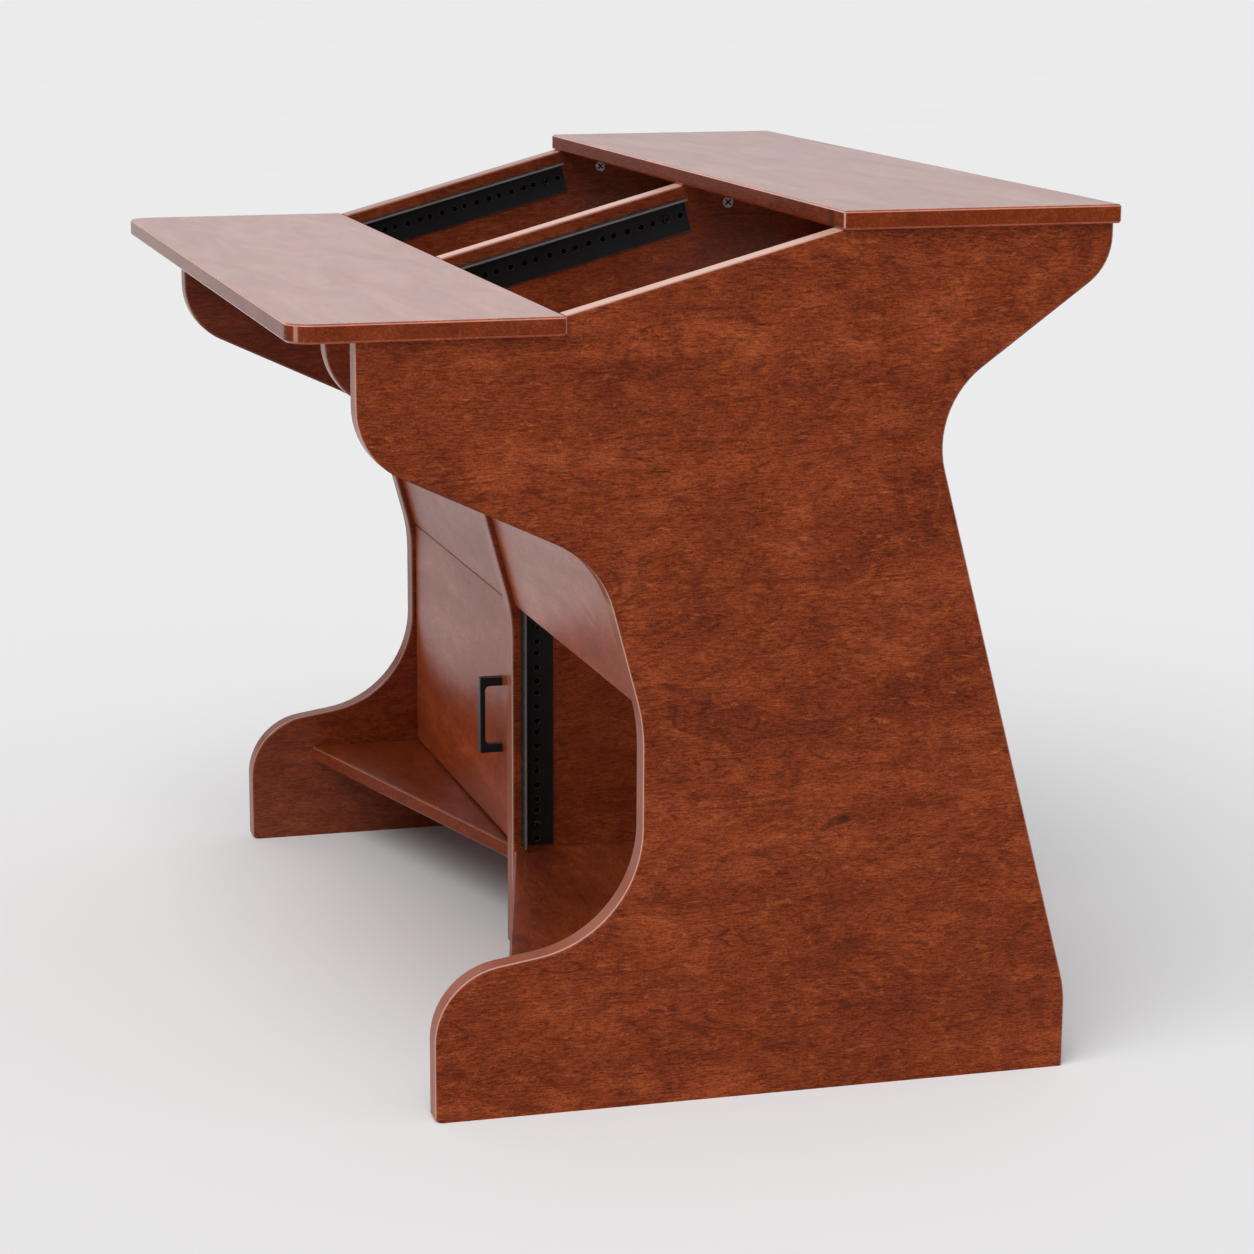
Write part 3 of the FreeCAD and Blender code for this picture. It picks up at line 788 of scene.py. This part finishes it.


# Boards; their tones are partly painted light and shade: lower on the left-hand boards, which stand in
# shade, and higher on the tops and the nearer knee panel, which catch light and sheen
dress_wood("left_side_panel", grain="Y", face="X", shift=1.0, tone=0.85, calm=0.2, arris_highlight=0.35,
           lacquer=inner_lacquer, edging=shaded_edging)
dress_wood("center_divider", grain="Y", face="X", shift=2.0, tone=1.0, calm=0.25, arris_highlight=0.5,
           lacquer=inner_lacquer, edging=upright_edging)
dress_wood("right_side_panel", grain="Y", face="X", shift=3.0, tone=1.0, calm=0.0, arris_highlight=0.5,
           lacquer=face_lacquer, edging=upright_edging)
dress_wood("desktop", grain="X", face="Z", shift=5.0, tone=1.9, calm=0.35, arris_highlight=0.4,
           lacquer=top_lacquer, edging=desk_edging)
dress_wood("top_shelf", grain="X", face="Z", shift=6.0, tone=1.8, calm=0.35, arris_highlight=0.4,
           lacquer=top_lacquer, edging=board_edging)
dress_wood("left_bottom_shelf", grain="X", face="Z", shift=7.0, tone=0.9, calm=0.3, arris_highlight=0.15,
           lacquer=face_lacquer, edging=shelf_edging)
dress_wood("right_bottom_shelf", grain="X", face="Z", shift=8.0, tone=1.0, calm=0.1, arris_highlight=0.15,
           lacquer=shelf_lacquer, edging=shelf_edging)
dress_wood("left_knee_panel", grain="X", face="Y", shift=10.0, tone=1.4, calm=0.4, arris_highlight=0.0,
           lacquer=knee_lacquer, edging=shelf_edging)
dress_wood("right_knee_panel", grain="X", face="Y", shift=11.0, tone=1.8, calm=0.4, arris_highlight=0.0,
           lacquer=near_knee_lacquer, edging=shelf_edging)
dress_wood("door", grain="X", face="Y", shift=12.0, tone=1.4, calm=0.4, arris_highlight=0.0,
           lacquer=face_lacquer, edging=shelf_edging)
for node, shift in (("left_rear_rail", 13.0), ("right_rear_rail", 14.0)):
    dress_wood(node, grain="X", face="Y", shift=shift, tone=1.0, calm=0.0, arris_highlight=0.3,
               lacquer=face_lacquer, edging=board_edging)

# Metal and plastic pieces
for node in frame["nodes"]:
    if node.startswith("upper") and "bay_rail" in node:
        rack_rail(node, rack_tilt)
    if node.startswith("lower") and "bay_rail" in node:
        rack_rail(node, upright_tilt)
rail_screws()
cam_locks()
handle_screws()
catch()
dress("door_handle", [handle_paint], metal_round)
for node in ("cam_bolts", "strike_plate"):
    dress(node, [zinc], 0.0)
for node in ("upper_pivot_pin", "lower_pivot_pin"):
    dress(node, [steel], 0.0)
for node in ("upper_pivot_bush", "lower_pivot_bush"):
    dress(node, [plastic], 0.0)


# Floor
def make_floor():
    """Wide pale floor, very slightly clouded."""
    mesh = bpy.data.meshes.new("floor")
    corners = [(-floor_reach, -floor_reach, 0), (floor_reach, -floor_reach, 0),
               (floor_reach, floor_reach, 0), (-floor_reach, floor_reach, 0)]
    mesh.from_pydata(corners, [], [(0, 1, 2, 3)])
    floor = bpy.data.objects.new("floor", mesh)
    bpy.context.scene.collection.objects.link(floor)
    material, tree, shader = new_material("pale_floor")
    cloud = noise(tree, object_place(tree), floor_waves)
    darker = tuple(floor_shade * channel for channel in floor_tone[:3]) + (1.0,)
    tree.links.new(blend(tree, cloud, darker, floor_tone), shader.inputs["Base Color"])
    shader.inputs["Roughness"].default_value = floor_roughness
    shader.inputs["Specular IOR Level"].default_value = 0.0
    mesh.materials.append(material)


# Light
def make_world():
    """Even surroundings: one level as light, a level of its own as backdrop, and graded in reflections."""
    world = bpy.data.worlds.new("studio")
    bpy.context.scene.world = world
    world.use_nodes = True
    tree = world.node_tree
    background = tree.nodes["Background"]
    rays = put(tree, "ShaderNodeLightPath").outputs
    reflected = arithmetic(tree, "MAXIMUM", rays["Is Glossy Ray"], rays["Is Transmission Ray"])
    direction = parts_of(tree, put(tree, "ShaderNodeTexCoord").outputs["Generated"])
    across = mapped(tree, direction["X"], side_start, side_end, side_level, 1.0)
    upward = mapped(tree, direction["Z"], horizon_start, horizon_end, horizon_level, 1.0)
    shown = product(tree, across, upward)
    light = put(tree, "ShaderNodeMix", {"Factor": reflected, "B": shown}, {"A": sky_level})
    level = put(tree, "ShaderNodeMix", {"Factor": rays["Is Camera Ray"], "A": light.outputs["Result"]},
                {"B": backdrop_level})
    background.inputs["Color"].default_value = backdrop_tone
    tree.links.new(level.outputs["Result"], background.inputs["Strength"])


def sun(name, direction, level, softness):
    """Distant lamp that shines from a direction."""
    lamp = bpy.data.lights.new(name, "SUN")
    lamp.energy = level
    lamp.angle = math.radians(softness)
    lamp_object = bpy.data.objects.new(name, lamp)
    bpy.context.scene.collection.objects.link(lamp_object)
    lamp_object.rotation_euler = Vector(direction).to_track_quat("Z", "Y").to_euler()


def make_camera():
    """Camera of the photo."""
    azimuth = math.radians(camera_azimuth)
    elevation = math.radians(camera_elevation)
    level_part = math.cos(elevation)
    away = Vector((math.sin(azimuth) * level_part, -math.cos(azimuth) * level_part, math.sin(elevation)))
    data = bpy.data.cameras.new("camera")
    data.sensor_width = sensor_width
    data.lens = sensor_width * focal_pixels / picture_size
    data.shift_x = 0.5 - axis_pixel[0] / picture_size
    data.shift_y = axis_pixel[1] / picture_size - 0.5
    data.clip_end = sight_limit
    camera = bpy.data.objects.new("camera", data)
    bpy.context.scene.collection.objects.link(camera)
    camera.location = camera_target + away * camera_distance
    camera.rotation_euler = away.to_track_quat("Z", "Y").to_euler()
    bpy.context.scene.camera = camera


make_floor()
make_world()
sun("key", key_direction, key_level, key_softness)
make_camera()
bpy.context.scene.view_settings.view_transform = "Standard"
